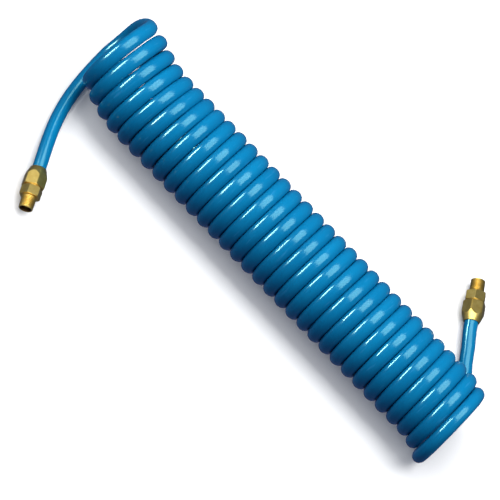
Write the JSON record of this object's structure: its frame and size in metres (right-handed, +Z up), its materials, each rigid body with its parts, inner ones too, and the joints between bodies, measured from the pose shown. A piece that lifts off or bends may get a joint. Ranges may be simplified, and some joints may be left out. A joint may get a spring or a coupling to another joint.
{
  "type": "coiled air hose",
  "caption": "Self-storing coiled nylon air hose with a brass compression fitting and a swivelling male pipe nipple on each end.",
  "frame": {"origin": "on the floor, under the middle of the whole hose as it lies packed", "axes": "+X along the coil from the inlet to the outlet, +Y towards the side on which the outlet leaves, +Z up"},
  "size_m": [0.4684, 0.2882, 0.0927],
  "materials": {
    "hose": "smooth extruded nylon, glossy blue",
    "brass": "machined, satin on the flats and bright on the turned faces",
    "spring_steel": "stamped",
    "washer": "plain acetal",
    "seal": "smooth black nitrile"
  },
  "bodies": {
    "hose": {"hose_coil": "hose", "inlet_hose_end": "hose", "inlet_tube_support": "brass", "inlet_fitting_body": "brass"},
    "inlet_ferrule": {"inlet_ferrule": "brass"},
    "inlet_nut": {"inlet_compression_nut": "brass"},
    "inlet_swivel": {"inlet_swivel_nipple": "brass", "inlet_retaining_ring": "spring_steel", "inlet_thrust_washer": "washer", "inlet_swivel_seal": "seal"},
    "outlet_end": {"outlet_hose_end": "hose", "outlet_tube_support": "brass", "outlet_fitting_body": "brass"},
    "outlet_ferrule": {"outlet_ferrule": "brass"},
    "outlet_nut": {"outlet_compression_nut": "brass"},
    "outlet_swivel": {"outlet_swivel_nipple": "brass", "outlet_retaining_ring": "spring_steel", "outlet_thrust_washer": "washer", "outlet_swivel_seal": "seal"}
  },
  "joints": [
    {"name": "coil_stretch", "type": "slide", "parent": "hose", "child": "outlet_end", "axis": [1, 0, 0], "range_m": [0, 1], "stiffness_N_per_m": 20, "deforming": ["hose_coil"]},
    {"name": "inlet_ferrule_travel", "type": "slide", "parent": "hose", "child": "inlet_ferrule", "axis": [-0.4274, 0.9041, 0], "range_m": [0, 0.00635]},
    {"name": "inlet_nut_unscrew", "type": "hinge", "parent": "inlet_ferrule", "child": "inlet_nut", "pos_m": [-0.19383, -0.10395, 0.01085], "axis": [-0.4274, 0.9041, 0], "range_deg": [0, 2160]},
    {"name": "inlet_swivel_turn", "type": "hinge", "parent": "hose", "child": "inlet_swivel", "pos_m": [-0.19383, -0.10395, 0.01085], "axis": [0.4274, -0.9041, 0], "continuous": true},
    {"name": "outlet_ferrule_travel", "type": "slide", "parent": "outlet_end", "child": "outlet_ferrule", "axis": [0.5402, -0.8415, 0], "range_m": [0, 0.00635]},
    {"name": "outlet_nut_unscrew", "type": "hinge", "parent": "outlet_ferrule", "child": "outlet_nut", "pos_m": [0.17377, 0.10585, 0.00953], "axis": [0.5402, -0.8415, 0], "range_deg": [0, 2160]},
    {"name": "outlet_swivel_turn", "type": "hinge", "parent": "outlet_end", "child": "outlet_swivel", "pos_m": [0.17377, 0.10585, 0.00953], "axis": [-0.5402, 0.8415, 0], "continuous": true}
  ],
  "couplings": [
    {"joint": "inlet_nut_unscrew", "follows": "inlet_ferrule_travel", "rad_per_m": 5936.9},
    {"joint": "outlet_nut_unscrew", "follows": "outlet_ferrule_travel", "rad_per_m": 5936.9}
  ]
}
